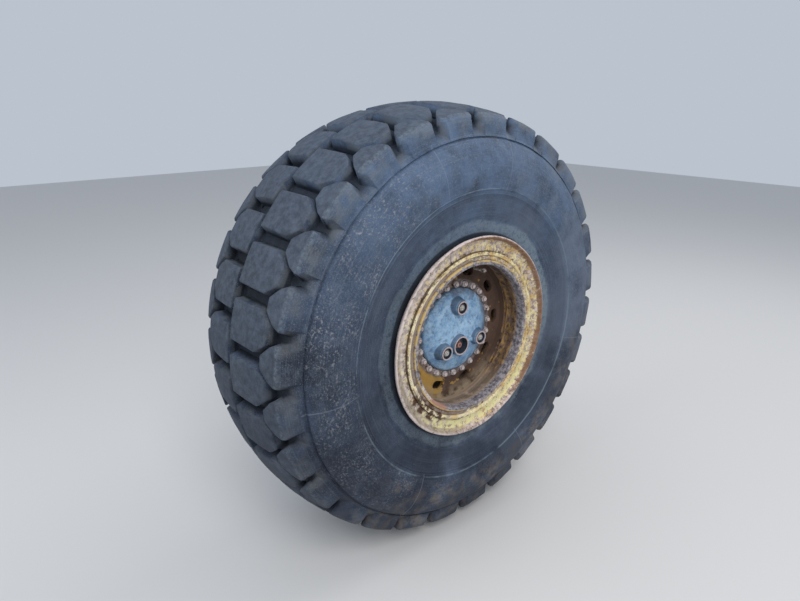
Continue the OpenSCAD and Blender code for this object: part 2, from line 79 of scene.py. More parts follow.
class Finish:
    """A finish that is mixed from patterns over the object's own coordinates. Colours of three values are as
    on a screen, from 0 to 255."""

    def __init__(self, name, metallic=0.0, specular=0.5):
        self.material = bpy.data.materials.new(name)
        self.material.use_nodes = True
        self.tree = self.material.node_tree
        self.shader = self.tree.nodes["Principled BSDF"]
        self.shader.inputs["Metallic"].default_value = metallic
        self.shader.inputs["Specular IOR Level"].default_value = specular
        self.place = self.add("ShaderNodeTexCoord").outputs["Object"]

    def add(self, kind, **settings):
        made = self.tree.nodes.new(kind)
        for name, value in settings.items():
            setattr(made, name, value)
        return made

    def put(self, socket, value):
        if isinstance(value, bpy.types.NodeSocket):
            self.tree.links.new(value, socket)
        else:
            socket.default_value = value

    def math(self, operation, *values, clamp=False):
        made = self.add("ShaderNodeMath", operation=operation, use_clamp=clamp)
        for socket, value in zip(made.inputs, values):
            self.put(socket, value)
        return made.outputs[0]

    def between(self, value, low, high):
        """0 below low and 1 above high, or the other way round where high is the lower."""
        made = self.add("ShaderNodeMapRange", interpolation_type="SMOOTHSTEP")
        self.put(made.inputs["Value"], value)
        made.inputs["From Min"].default_value = low
        made.inputs["From Max"].default_value = high
        return made.outputs["Result"]

    def band(self, value, low, high, soft):
        """1 from low to high, with soft edges."""
        return self.times(self.between(value, low - soft, low), self.between(value, high + soft, high))

    def ring(self, low, high, soft):
        """1 between two distances from the axle, with soft edges."""
        return self.band(self.radius, low, high, soft)

    def noise(self, scale, detail=4.0, roughness=0.55, at=None):
        made = self.add("ShaderNodeTexNoise")
        self.put(made.inputs["Vector"], at or self.place)
        made.inputs["Scale"].default_value = scale
        made.inputs["Detail"].default_value = detail
        made.inputs["Roughness"].default_value = roughness
        return made.outputs["Fac"]

    def patches(self, scale, low, high, detail=6.0, roughness=0.6, at=None):
        """Uneven patches with edges between two levels of a noise."""
        return self.between(self.noise(scale, detail, roughness, at), low, high)

    def times(self, *values):
        made = values[0]
        for value in values[1:]:
            made = self.math("MULTIPLY", made, value)
        return made

    def plus(self, one, other):
        return self.math("ADD", one, other)

    def less(self, one, other):
        return self.math("SUBTRACT", one, other)

    def mix(self, mask, below, above):
        """One colour or number over another where the mask is 1. Numbers are mixed as they are."""
        plain = not isinstance(below, (tuple, bpy.types.NodeSocketColor))
        made = self.add("ShaderNodeMix", data_type="FLOAT" if plain else "RGBA")
        sockets = [s for s in made.inputs if s.enabled]
        self.put(sockets[0], mask)
        self.put(sockets[1], below if plain else self.tint(below))
        self.put(sockets[2], above if plain else self.tint(above))
        return next(s for s in made.outputs if s.enabled)

    def tint(self, colour):
        """Turns a screen colour into the shader's linear values, and leaves anything else as it is."""
        if not isinstance(colour, tuple) or len(colour) != 3:
            return colour
        shares = [part / 255 for part in colour]
        return (*(p / 12.92 if p <= 0.04045 else ((p + 0.055) / 1.055) ** 2.4 for p in shares), 1.0)

    def round_axle(self, centre_y):
        """Radius from the axle, distance along it, and the direction out from it."""
        split = self.add("ShaderNodeSeparateXYZ")
        self.put(split.inputs[0], self.place)
        x, y, z = split.outputs
        self.x, self.z = x, z
        self.radius = self.from_line(0.0, 0.0)
        self.along = self.less(y, centre_y)
        self.out_x = self.math("DIVIDE", x, self.radius)
        self.out_z = self.math("DIVIDE", z, self.radius)

    def from_line(self, x, z):
        """Distance from a line that runs parallel to the axle."""
        across, up = self.less(self.x, x), self.less(self.z, z)
        return self.math("SQRT", self.plus(self.times(across, across), self.times(up, up)))

    def rings(self, turn, across, along=1.0):
        """Seamless coordinates stretched round the axle. Turn, across and along are the frequencies round it,
        away from it and along it."""
        joined = self.add("ShaderNodeCombineXYZ")
        self.put(joined.inputs[0], self.times(self.out_x, turn))
        height = self.plus(self.times(self.radius, across), self.times(self.along, along))
        self.put(joined.inputs[1], height)
        self.put(joined.inputs[2], self.times(self.out_z, turn))
        return joined.outputs[0]

    def towards(self, angle, narrow, wide):
        """1 within narrow degrees of an angle from the top, fading out at wide degrees. Left is positive."""
        a = math.radians(angle)
        facing = self.plus(self.times(self.out_x, -math.sin(a)), self.times(self.out_z, math.cos(a)))
        return self.between(facing, math.cos(math.radians(wide)), math.cos(math.radians(narrow)))

    def bump(self, height, depth, strength=1.0, under=None):
        made = self.add("ShaderNodeBump")
        made.inputs["Strength"].default_value = strength
        made.inputs["Distance"].default_value = depth
        self.put(made.inputs["Height"], height)
        if under:
            self.put(made.inputs["Normal"], under)
        return made.outputs[0]

    def lay(self, mask, colour, share=1.0):
        """Lays a colour over what is there by now, by a share of a mask."""
        self.colour = self.mix(mask if share == 1.0 else self.times(mask, share), self.colour, colour)

    def done(self, roughness, normal=None):
        self.put(self.shader.inputs["Base Color"], self.tint(self.colour))
        self.put(self.shader.inputs["Roughness"], roughness)
        if normal:
            self.put(self.shader.inputs["Normal"], normal)
        return self.material


bpy.ops.mesh.primitive_plane_add(size=24, location=(0, 0, cad_box[0].z))
floor = bpy.context.object
floor.name = "floor"
floor_finish = Finish("pale_floor", specular=0.2)
floor_finish.colour = (0.62, 0.61, 0.60, 1.0)
floor.data.materials.append(floor_finish.done(0.8))

sky = bpy.data.worlds.new("sky")
bpy.context.scene.world = sky
sky.use_nodes = True
sky.node_tree.nodes["Background"].inputs["Color"].default_value = (0.80, 0.88, 1.0, 1.0)
sky.node_tree.nodes["Background"].inputs["Strength"].default_value = 0.62
lamps = [("key_light", (-2.2, -4.6, 4.6), 3.2, 230, (1.0, 0.98, 0.95)),
         ("fill_light", (-5.0, 0.6, 3.0), 3.6, 80, (0.86, 0.93, 1.0)),
         ("rim_light", (3.6, -1.0, 4.0), 3.0, 90, (1.0, 0.97, 0.93))]
for lamp_name, lamp_place, lamp_size, lamp_power, lamp_colour in lamps:
    bpy.ops.object.light_add(type="AREA", location=lamp_place)
    lamp = bpy.context.object
    lamp.name = lamp_name
    lamp.rotation_euler = (-Vector(lamp_place)).to_track_quat("-Z", "Y").to_euler()
    lamp.data.size = lamp_size
    lamp.data.energy = lamp_power
    lamp.data.color = lamp_colour


# Tyre: a worn radial earthmover tyre, vulcanised rubber over steel cords. It is moulded with two rows of
# blocks and two rows of shoulder lugs that run out over the sidewalls. Its own pressure seats it on the rim.
tyre_low, tyre_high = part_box("tyre")
axle_y = (tyre_low.y + tyre_high.y) / 2
tyre_r = tyre_high.z
belly_w = (tyre_high.y - tyre_low.y) / 2
lip_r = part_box("outer_side_flange")[1].z
pitches = 28
columns = 12
half_columns = columns // 2
half_pitch = math.pi / pitches
lug_at = math.radians(6.2)
crown_r = 900 * mm
tread_half = belly_w - 51 * mm
shoulder_round = 45 * mm
foot_r = tyre_r - 115 * mm
foot_w = belly_w - 44 * mm
belly_r = tyre_r - 234 * mm
ring_r = belly_r - 67 * mm


def along_table(table, s):
    """Reads a value between the rows of a table of [place, value]."""
    for (s0, v0), (s1, v1) in zip(table, table[1:]):
        if s <= s1:
            return v0 + (v1 - v0) * (s - s0) / (s1 - s0)
    return table[-1][1]


# The crown's arc turns into the rounded shoulder, and that ends at the lug's flat outer face.
round_from = math.asin((tread_half - shoulder_round) / (crown_r - shoulder_round))
round_centre = tyre_r - crown_r + (crown_r - shoulder_round) * math.cos(round_from)
crown_end = crown_r * round_from
round_end = crown_end + shoulder_round * (math.pi / 2 - round_from)
face_end = round_end + math.hypot(round_centre - foot_r, tread_half - foot_w)

# Rows across half of the tread, by distance over the tread from the mid-plane, in millimetres.
face_rows = [round((round_end + (face_end - round_end) * share) / mm) for share in (0, 0.36, 0.7, 1)]
tread_rows = [8, 50, 100, 150, 180, 204, 222, 243, 253, 265, 277, 291] + face_rows
block_rows = (8, 204)
lug_rows = (180, face_rows[-1])
# Half widths at the feet, by distance from the mid-plane: a shoulder lug, and a block in the middle.
lug_plan = [[8, 12], [180, 22], [240, 80], [250, 80], [270, 58], [291, 54]]
block_plan = [[8, 78], [148, 78], [203, 34], [222, 16], [240, 5], [291, 5]]
# The flanks lean by this much for each millimetre of depth, from these half widths at the crown's height.
draft = 0.25
lug_flank = 62
block_flank = 69


def tread_top(s):
    """Place of the worn tread at a distance over it: crown, rounded shoulder, then the lug's outer face."""
    s = s * mm
    if s <= crown_end:
        return tyre_r - crown_r + crown_r * math.cos(s / crown_r), crown_r * math.sin(s / crown_r)
    if s <= round_end:
        a = round_from + (s - crown_end) / shoulder_round
        return round_centre + shoulder_round * math.cos(a), tread_half - shoulder_round * (1 - math.sin(a))
    t = (s - round_end) / (face_end - round_end)
    return round_centre + (foot_r - round_centre) * t, tread_half + (foot_w - tread_half) * t


def tread_floor(s):
    """Place of the groove's floor under that: deep under the crown, then a slope out to the sidewall."""
    across = tread_top(s)[1]
    run_w = foot_w - 38 * mm
    if across < run_w:
        rise = 4 * mm * math.sin(math.pi * across / run_w)
        return tyre_r - along_table([[0, 40], [run_w / mm, 79]], across / mm) * mm + rise, across
    return foot_r + 36 * mm * (foot_w - across) / (foot_w - run_w), across


# The sidewall is two arcs that meet at the belly, down to the ring, and then straight to the bead.
low_r = lip_r + 76 * mm
low_w = belly_w - 29 * mm
low_arc = 195 * mm
high_arc = ((foot_r - belly_r) ** 2 + (belly_w - foot_w) ** 2) / (2 * (belly_w - foot_w))
ring_w = belly_w - low_arc + math.sqrt(low_arc ** 2 - (belly_r - ring_r) ** 2)


def sidewall_w(r):
    if r < ring_r:
        return low_w + (ring_w - low_w) * (r - low_r) / (ring_r - low_r)
    arc = high_arc if r > belly_r else low_arc
    return belly_w - arc + math.sqrt(arc ** 2 - (belly_r - r) ** 2)


# Profile from the lugs' foot down to the bead, and the liner back up: [radius, width].
seat_r = lip_r - 76.4 * mm
seat_w = 279.5 * mm
sidewall = [(foot_r - 1.5 * mm, foot_w - 3.5 * mm), (foot_r - 4.5 * mm, foot_w - 3.5 * mm)]
sidewall += [(r, sidewall_w(r)) for r in (foot_r - d * mm for d in (6.5, 24, 48, 72, 96))]
sidewall += [(r, sidewall_w(r)) for r in (belly_r, belly_r - 24 * mm, belly_r - 46 * mm)]
for step, height in ((12, 0), (10, 2.2), (7, 2.2), (5, 0), (-5, 0), (-7, 1.6), (-9, 1.6), (-11, 0)):
    sidewall += [(ring_r + step * mm, sidewall_w(ring_r + step * mm) + height * mm)]
sidewall += [(r, sidewall_w(r)) for r in (ring_r - 32 * mm, low_r + 22 * mm, low_r)]
sidewall += [(low_r - 14 * mm, low_w - 1.5 * mm), (low_r - 17 * mm, low_w - 4.5 * mm)]
sidewall += [(lip_r + 44 * mm, low_w - 7 * mm), (lip_r + 31 * mm, low_w - 9.5 * mm)]
sidewall += [(lip_r + 12 * mm, 288 * mm), (lip_r - 10 * mm, 285 * mm), (seat_r + 42 * mm, 279.3 * mm)]
sidewall += [(seat_r + 2 * mm, seat_w - 0.3 * mm), (seat_r - 6 * mm, 205 * mm), (seat_r + 14 * mm, 204 * mm)]
sidewall += [(lip_r - 4 * mm, 258 * mm), (low_r - 10 * mm, low_w - 34 * mm)]
liner_top = tyre_r - 86 * mm
liner_low = belly_r - 60 * mm
liner_w = belly_w - 34 * mm
liner_steps = 8
squareness = 0.77
for step in range(1, liner_steps + 1):
    a = math.radians(90 * step / liner_steps)
    sidewall += [(liner_low + (liner_top - liner_low) * math.sin(a) ** squareness,
                  max(liner_w * math.cos(a) ** squareness, 0))]
half_rows = len(tread_rows) + len(sidewall)


def row_place(j):
    """Distance over the tread of a row of the plan, counted from the mid-plane."""
    return tread_rows[min(abs(j), len(tread_rows)) - 1]


def column_angle(i, j, radius, width):
    """Angle of a column at a place on the profile. Columns run along the flanks of lug and block. In the
    middle of tread and liner, where the wheel's two sides meet half a pitch apart, they spread evenly."""
    if j == 0 or abs(j) == half_rows:
        return i * half_pitch / half_columns
    depth = (tyre_r - radius) / mm
    radius = max(radius, foot_r)
    lug = min(along_table(lug_plan, width / mm), lug_flank + draft * depth) * mm / radius
    block = half_pitch - min(along_table(block_plan, width / mm), block_flank + draft * depth) * mm / radius
    stands = [0, lug / 2, lug, (lug + block) / 2, block, (half_pitch + block) / 2, half_pitch]
    return math.copysign(stands[abs(i)] if j > 0 else half_pitch - stands[half_columns - abs(i)], i)


def row_index(s):
    """The row of the plan that lies at a distance over the tread."""
    return tread_rows.index(s) + 1


def batter(piece, size, depth, sunk=0.0):
    """Dents a piece: moves its points along their normals by a noise with features of a size, in millimetres.
    Sunk is the share of that depth by which the whole surface goes in."""
    normals = [vert.normal.copy() for vert in piece.data.vertices]
    for vert, normal in zip(piece.data.vertices, normals):
        vert.co += normal * (noise.noise(vert.co / (size * mm)) - sunk) * depth * mm


def choose(*pieces):
    """Selects these pieces alone, and makes the first of them the active one."""
    bpy.ops.object.select_all(action="DESELECT")
    for piece in pieces:
        piece.select_set(True)
    bpy.context.view_layer.objects.active = pieces[0]


def reshape(piece, kind, **settings):
    """Applies a modifier to a piece."""
    choose(piece)
    made = piece.modifiers.new("reshape", kind)
    for name, value in settings.items():
        setattr(made, name, value)
    bpy.ops.object.modifier_apply(modifier=made.name)


# The plan of one pitch is a grid. Outboard, the lug stands between columns -2 and 2 and the block beyond
# column 4. Inboard it is the other way round. Both are pulled up, without walls at the plan's edges and at
# the lugs' outer ends.
lug_column = 2
block_column = 4
bpy.ops.mesh.primitive_grid_add(x_subdivisions=columns, y_subdivisions=2 * half_rows, size=1)
tyre = bpy.context.object
tyre.name = "tyre_rubber"
tyre.scale = (columns, 2 * half_rows, 1)
bpy.ops.object.transform_apply(scale=True)
bpy.ops.object.mode_set(mode="EDIT")
bpy.ops.mesh.select_mode(type="FACE")
bpy.ops.mesh.select_all(action="DESELECT")
plan = bmesh.from_edit_mesh(tyre.data)
for face in plan.faces:
    middle = face.calc_center_median()
    in_lug = row_index(lug_rows[0]) < abs(middle.y) < row_index(lug_rows[1])
    in_block = row_index(block_rows[0]) < abs(middle.y) < row_index(block_rows[1])
    near_middle, near_edge = abs(middle.x) < lug_column, abs(middle.x) > block_column
    lug_here, block_here = (near_middle, near_edge) if middle.y > 0 else (near_edge, near_middle)
    if (in_lug and lug_here) or (in_block and block_here):
        face.select = True
bmesh.update_edit_mesh(tyre.data)
bpy.ops.mesh.extrude_region_move(TRANSFORM_OT_translate={"value": (0, 0, 1)})
bpy.ops.mesh.select_all(action="DESELECT")
plan = bmesh.from_edit_mesh(tyre.data)
lug_end = row_index(lug_rows[1])
for face in plan.faces:
    middle = face.calc_center_median()
    at_seam = abs(abs(middle.x) - half_columns) < 0.01
    at_foot = abs(abs(middle.y) - lug_end) < 0.01
    if abs(middle.z - 0.5) < 0.01 and (at_seam or at_foot):
        face.select = True
bmesh.update_edit_mesh(tyre.data)
bpy.ops.mesh.delete(type="FACE")

# Wraps the plan of one pitch round the tyre: columns become angles, rows become places on the profile.
bpy.ops.mesh.select_mode(type="VERT")
plan = bmesh.from_edit_mesh(tyre.data)
for vert in plan.verts:
    i, j = round(vert.co.x), round(vert.co.y)
    s = row_place(j) if j else 0
    if abs(j) > len(tread_rows):
        radius, width = sidewall[abs(j) - len(tread_rows) - 1]
    elif vert.co.z > 0.5:
        of_lug = (abs(i) <= lug_column) == (j > 0)
        radius, width = tread_top(max(s, lug_rows[0] + 2) if of_lug else min(s, block_rows[1] - 2))
    else:
        radius, width = tread_floor(s)
    angle = column_angle(i, j, radius, width) - lug_at
    vert.co = (radius * math.sin(angle), axle_y - math.copysign(width, j), radius * math.cos(angle))
bmesh.update_edit_mesh(tyre.data)
bpy.ops.mesh.select_all(action="SELECT")
bpy.ops.mesh.spin(steps=pitches - 1, dupli=True, angle=math.tau * (pitches - 1) / pitches,
                  center=(0, 0, 0), axis=(0, 1, 0))
bpy.ops.mesh.select_all(action="SELECT")
bpy.ops.mesh.remove_doubles(threshold=0.3 * mm)
bpy.ops.mesh.normals_make_consistent(inside=False)

# The lugs' edges are worn round, and their feet have a moulded fillet. Near the sidewall both nearly run out.
rounds = bmesh.from_edit_mesh(tyre.data)
weights = rounds.edges.layers.float.new("bevel_weight_edge")
for edge in rounds.edges:
    if len(edge.link_faces) != 2:
        continue
    middle = (edge.verts[0].co + edge.verts[1].co) / 2
    radius = math.hypot(middle.x, middle.z)
    if radius < foot_r - mm or edge.calc_face_angle(0) < math.radians(24):
        continue
    run_out = min(1, max(0.12, (radius - foot_r) / (50 * mm)))
    edge[weights] = (1.0 if edge.is_convex else 0.6) * run_out
bmesh.update_edit_mesh(tyre.data)
bpy.ops.object.mode_set(mode="OBJECT")
reshape(tyre, "BEVEL", limit_method="WEIGHT", width=6 * mm, segments=3, use_clamp_overlap=False)
bpy.ops.object.shade_smooth_by_angle(angle=math.radians(40))
batter(tyre, 130, 1.6, 0.5)
batter(tyre, 28, 1.1, 0.5)
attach(tyre, "wheel")
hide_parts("tyre")


rubber = Finish("worn_rubber", specular=0.32)
rubber.round_axle(axle_y)
width = rubber.math("ABSOLUTE", rubber.along)
crown_drop = rubber.math("DIVIDE", rubber.times(width, width), 2 * crown_r)
below_crown = rubber.less(rubber.less(tyre_r, crown_drop), rubber.radius)
behind_face = rubber.less(tread_half + 4 * mm, width)
depth = rubber.math("MINIMUM", below_crown, behind_face)
on_tread = rubber.between(rubber.radius, foot_r - 2 * mm, foot_r + 2 * mm)
# The rubber's dark grey carries a bluish tint that is a painted reflection of the sky.
cloud = rubber.noise(5, 5, 0.6)
rubber.colour = rubber.mix(rubber.between(cloud, 0.34, 0.66), (27, 36, 51), (55, 69, 90))
blots = rubber.patches(17, 0.46, 0.62, 8, 0.7)
rubber.lay(blots, (92, 104, 120), 0.3)
# Painted sky light: patches at the top of the sidewall are lighter and bluer.
top_sky_light = rubber.times(rubber.towards(-10, 20, 80), rubber.patches(12, 0.2, 0.72, 8, 0.7))
rubber.lay(top_sky_light, (104, 130, 164), 0.5)
blue_side = rubber.times(rubber.towards(-105, 50, 110), rubber.patches(4, 0.4, 0.6))
rubber.lay(blue_side, (98, 109, 127), 0.75)
grain = rubber.noise(240, 3, 0.7)
rubber.lay(rubber.between(grain, 0.5, 0.7), (120, 126, 136), 0.5)
# The bead zone is greener and paler, with a wavy edge.
wave = rubber.times(rubber.less(rubber.noise(7, 3), 0.5), 60 * mm)
bead_zone = rubber.band(rubber.plus(rubber.radius, wave), lip_r + 4 * mm, lip_r + 44 * mm, 14 * mm)
bead_film = rubber.plus(rubber.times(rubber.towards(-110, 60, 150), 0.35), 0.3)
bead_zone = rubber.times(bead_zone, bead_film, rubber.patches(60, 0.3, 0.55, 6, 0.7))
rubber.lay(bead_zone, (124, 138, 146))
# A painted shadow of the rim's lip darkens the gap behind it.
gap = rubber.between(rubber.radius, lip_r + 13 * mm, lip_r + 5 * mm)
rubber.lay(gap, (20, 24, 30), 0.8)
recess = rubber.ring(low_r - 6 * mm, ring_r - 12 * mm, 12 * mm)
rubber.lay(recess, (58, 66, 80), 0.4)
lines = rubber.patches(1, 0.54, 0.62, 3, 0.6, rubber.rings(1.2, 260))
lined = rubber.times(lines, rubber.ring(0.43, 0.80, 0.02), 0.16)
rubber.lay(lined, (118, 128, 140))
# Scuffs: short pale strokes on the upper sidewall, most of them towards the front of the wheel.
strokes = rubber.patches(1, 0.52, 0.62, 7, 0.75, rubber.rings(60, 120))
scuff_zone = rubber.ring(ring_r + 20 * mm, foot_r - 16 * mm, 26 * mm)
scuff_side = rubber.plus(rubber.times(rubber.towards(88, 30, 80), 0.72), 0.22)
scuffs = rubber.times(strokes, scuff_zone, scuff_side, rubber.patches(9, 0.36, 0.56))
rubber.lay(scuffs, (150, 152, 158), 0.75)
# The lugs' worn tops are grey, their shoulders are chafed pale, and the grooves hold some dust.
tops = rubber.times(on_tread, rubber.between(below_crown, 9 * mm, 3 * mm))
brushed = rubber.mix(rubber.patches(44, 0.2, 0.8, 7, 0.7), (40, 46, 56), (86, 95, 108))
rubber.lay(tops, brushed, 0.8)
chafed = rubber.band(width, tread_half - 26 * mm, tread_half - 8 * mm, 10 * mm)
chafed = rubber.times(on_tread, chafed, rubber.between(depth, 10 * mm, 2 * mm))
chafed = rubber.times(chafed, rubber.patches(90, 0.4, 0.66, 8, 0.75))
rubber.lay(chafed, (126, 138, 150), 0.5)
# Painted shade darkens the grooves, the more the deeper they lie.
deep = rubber.times(on_tread, rubber.between(depth, 10 * mm, 34 * mm))
rubber.lay(deep, (22, 25, 30), 0.78)
groove_dust = rubber.times(on_tread, rubber.band(depth, 8 * mm, 24 * mm, 8 * mm))
groove_dust = rubber.times(groove_dust, rubber.patches(16, 0.4, 0.6))
rubber.lay(groove_dust, (104, 106, 106), 0.4)
# Sandy dust clings to the lowest part of the sidewall, and the underside is the darkest.
low_side = rubber.towards(196, 30, 80)
dust = rubber.times(low_side, rubber.ring(ring_r + 70 * mm, tyre_r, 50 * mm))
dust = rubber.times(dust, rubber.patches(22, 0.4, 0.66))
rubber.lay(dust, (140, 126, 110), 0.5)
under = rubber.times(rubber.towards(172, 40, 115), rubber.patches(6, 0.3, 0.6))
rubber.lay(under, (26, 33, 48), 0.65)
# Thin mould seams run across the sidewall at a few places, and the ring's outer rib is chafed pale.
seams = None
for seam_at in (17, -12, 96, -104, -152, 152):
    across_side = rubber.ring(ring_r, foot_r + 10 * mm, 4 * mm)
    seam = rubber.times(rubber.towards(seam_at, 0.08, 0.26), across_side)
    seams = rubber.math("MAXIMUM", seams, seam) if seams else seam
rubber.lay(seams, (122, 132, 146), 0.32)
rib = rubber.ring(ring_r + 6.5 * mm, ring_r + 10.5 * mm, 2 * mm)
rubber.lay(rubber.times(rib, rubber.patches(8, 0.34, 0.54)), (116, 132, 144), 0.5)
fine = rubber.bump(grain, 0.8 * mm, 0.5)
worn = rubber.bump(rubber.noise(34, 6, 0.62), 4 * mm, 0.5, fine)
ridge = rubber.bump(rubber.less(seams, scuffs), 1.5 * mm, 0.6, worn)
roughness = rubber.mix(cloud, 0.62, 0.86)
tyre.data.materials.append(rubber.done(roughness, ridge))


# Rim: rolled and welded steel. The base carries a fixed seat inboard and a gutter outboard. The outer side
# flange, bead seat band and split lock ring slip over it. Yellow paint has flaked to pink primer and brown
# rust. Sizes are in millimetres: distances from the axle, and widths from the tyre's mid-plane.
ring_turns = 192
seat_gap = 0.2
seat, toe, base, mouth, barrel = 317.5, 311.0, 299.5, 282.0, 287.5
flange_t = 11
flange_in = 279.5
flange_out = flange_in + flange_t
curl_r = 41.5
curl_centre = (lip_r / mm - 39.3, flange_in + curl_r)
band_r = 332
band_lip = (flange_out + seat_gap, flange_out + seat_gap + 10)
groove = (271.7, 287.7)
split_at = 119
split_len = 7
key_at = 136
key_len = 100


def arc(centre, radius, start, end, count):
    """Points [radius from the axle, distance from the mid-plane] along an arc, in millimetres."""
    angles = [math.radians(start + (end - start) * i / count) for i in range(count + 1)]
    return [(centre[0] + radius * math.cos(a), centre[1] + radius * math.sin(a)) for a in angles]


def edit_all():
    """Opens the active piece for editing, with all of it selected."""
    bpy.ops.object.mode_set(mode="EDIT")
    bpy.ops.mesh.select_all(action="SELECT")


def spun(name, profile, start=0, sweep=360, turns=ring_turns):
    """Spins a closed outline round the axle. Angles are in degrees from the top, to the left."""
    bpy.ops.mesh.primitive_circle_add(vertices=len(profile), radius=0.1)
    piece = bpy.context.object
    piece.name = name
    a = math.radians(start)
    for vert, (radius, width) in zip(piece.data.vertices, profile):
        vert.co = (-radius * mm * math.sin(a), axle_y - width * mm, radius * mm * math.cos(a))
    edit_all()
    bpy.ops.mesh.spin(steps=turns, angle=-math.radians(sweep), center=(0, 0, 0), axis=(0, 1, 0))
    bpy.ops.mesh.select_all(action="SELECT")
    bpy.ops.mesh.remove_doubles(threshold=0.01 * mm)
    if sweep < 360:
        bpy.ops.mesh.select_all(action="DESELECT")
        bpy.ops.mesh.select_non_manifold(extend=False)
        bpy.ops.mesh.edge_face_add()
        bpy.ops.mesh.select_all(action="SELECT")
    bpy.ops.mesh.normals_make_consistent(inside=False)
    bpy.ops.object.mode_set(mode="OBJECT")
    return piece


def soften(piece, width, segments=2, angle=28):
    """Rounds a piece's edges and shades it smooth."""
    reshape(piece, "BEVEL", width=width * mm, segments=segments, limit_method="ANGLE",
            angle_limit=math.radians(angle))
    bpy.ops.object.shade_smooth_by_angle(angle=math.radians(40))


def dress(piece, node, material, body="wheel"):
    """Puts a finished piece in its node's place."""
    piece.data.materials.clear()
    piece.data.materials.append(material)
    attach(piece, body)
    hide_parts(node)


# Flaked paint: cream and yellow over pinkish primer, with rust in the pits and along the lip. Its zones lie
# between two distances from the axle, in metres.
ring_face = (0.299, 0.3155)
band_face = (0.3165, 0.331)
band_edge = (0.328, 0.339)
band_joint = (0.3318, 0.3335)
flange_foot = (0.335, 0.345)
flange_hollow = (0.340, 0.368)
key_zone = (0.300, 0.350)
flaked = Finish("flaked_yellow_paint", specular=0.35)
flaked.round_axle(axle_y)
paint = flaked.mix(flaked.patches(14, 0.42, 0.66), (230, 216, 170), (204, 168, 96))
primer = flaked.mix(flaked.patches(48, 0.36, 0.64, 7, 0.7), (218, 200, 190), (136, 118, 112))
lip_wear = flaked.between(flaked.radius, lip_r - 17 * mm, lip_r - 7 * mm)
wear = flaked.plus(flaked.noise(52, 9, 0.72), flaked.times(lip_wear, 0.3))
wear = flaked.less(wear, flaked.times(flaked.ring(*band_face, 0.002), 0.08))
left_side = flaked.times(flaked.towards(95, 30, 100), flaked.between(flaked.radius, *flange_foot), 0.05)
bare = flaked.between(flaked.plus(wear, left_side), 0.485, 0.515)
flaked.colour = flaked.mix(bare, paint, primer)
grime = flaked.patches(95, 0.5, 0.64, 7, 0.75)
grime_side = flaked.plus(flaked.times(flaked.towards(-80, 40, 95), 0.4), 0.34)
flaked.lay(flaked.times(grime, grime_side), (108, 88, 74))
pale_side = flaked.times(flaked.towards(95, 40, 100), flaked.patches(30, 0.3, 0.6))
flaked.lay(pale_side, (232, 222, 208), 0.35)
olive = flaked.ring(lip_r - 34 * mm, lip_r - 12 * mm, 8 * mm)
flaked.lay(flaked.times(flaked.towards(130, 25, 60), olive), (112, 98, 72), 0.5)
brown_side = flaked.plus(flaked.times(flaked.towards(-66, 56, 112), 0.8), 0.12)
brown = flaked.times(flaked.ring(lip_r - 14 * mm, lip_r - 8 * mm, 16 * mm), brown_side)
brown = flaked.plus(brown, flaked.times(flaked.noise(60, 9, 0.74), 1.3))
brown = flaked.between(brown, 1.3, 1.5)
brown_mix = flaked.mix(flaked.noise(80, 6, 0.7), (84, 52, 34), (156, 116, 80))
flaked.lay(brown, brown_mix, 0.85)
lip_edge = flaked.between(flaked.radius, lip_r - 5.5 * mm, lip_r - 3.5 * mm)
flaked.lay(flaked.times(lip_edge, flaked.patches(50, 0.32, 0.5)), (208, 192, 188), 0.75)
low_cream = flaked.times(flaked.towards(190, 30, 70), flaked.ring(*flange_hollow, 0.006))
low_cream = flaked.times(low_cream, flaked.patches(40, 0.44, 0.48, 9, 0.75))
flaked.lay(low_cream, (226, 216, 156), 0.9)
ring_side = flaked.plus(flaked.times(flaked.towards(90, 50, 120), 0.2), flaked.noise(60, 8, 0.74))
blotches = flaked.times(flaked.ring(*ring_face, 0.002), flaked.between(ring_side, 0.5, 0.62))
flaked.lay(blotches, (116, 98, 92), 0.82)
pits = flaked.patches(96, 0.605, 0.645, 6, 0.76)
flaked.lay(pits, (70, 44, 32), 0.8)
edge_rust = flaked.ring(*band_edge, 0.004)
edge_rust = flaked.times(edge_rust, flaked.patches(46, 0.5, 0.57, 8, 0.74))
flaked.lay(edge_rust, (78, 54, 40), 0.75)
joint = flaked.ring(*band_joint, 0.0012)
flaked.lay(joint, (58, 40, 26), 0.8)
stain = flaked.times(flaked.towards(136, 12, 26), flaked.ring(*key_zone, 0.010))
flaked.lay(flaked.times(stain, flaked.patches(44, 0.42, 0.56)), (84, 60, 44))
relief = flaked.plus(flaked.times(bare, -0.5), flaked.times(pits, -0.8))
scale = flaked.bump(flaked.noise(160, 5, 0.7), 0.8 * mm, 0.45)
flakes = flaked.bump(relief, 0.6 * mm, 0.8, scale)
rim_yellow = flaked.done(flaked.mix(bare, 0.55, 0.82), flakes)

# The flange curls out to its lip, whose edge is round.
curl_to = -20
lip_centre = arc(curl_centre, curl_r - flange_t / 2, curl_to, curl_to, 1)[0]
flange_profile = [(seat + seat_gap, flange_in)] + arc(curl_centre, curl_r, -90, curl_to, 8)
flange_profile += arc(lip_centre, flange_t / 2, 10, 130, 5)
flange_profile += arc(curl_centre, curl_r - flange_t, curl_to, -90, 8) + [(seat + seat_gap, flange_out)]
outer_flange = spun("outer_flange", flange_profile)
soften(outer_flange, 1.2)
batter(outer_flange, 90, 1.6)
batter(outer_flange, 22, 0.5)
dress(outer_flange, "outer_side_flange", rim_yellow)

inner_flange = spun("inner_flange", [(radius, -width) for radius, width in flange_profile])
soften(inner_flange, 1.2)
batter(inner_flange, 90, 1.2)
dress(inner_flange, "inner_side_flange", rim_yellow)

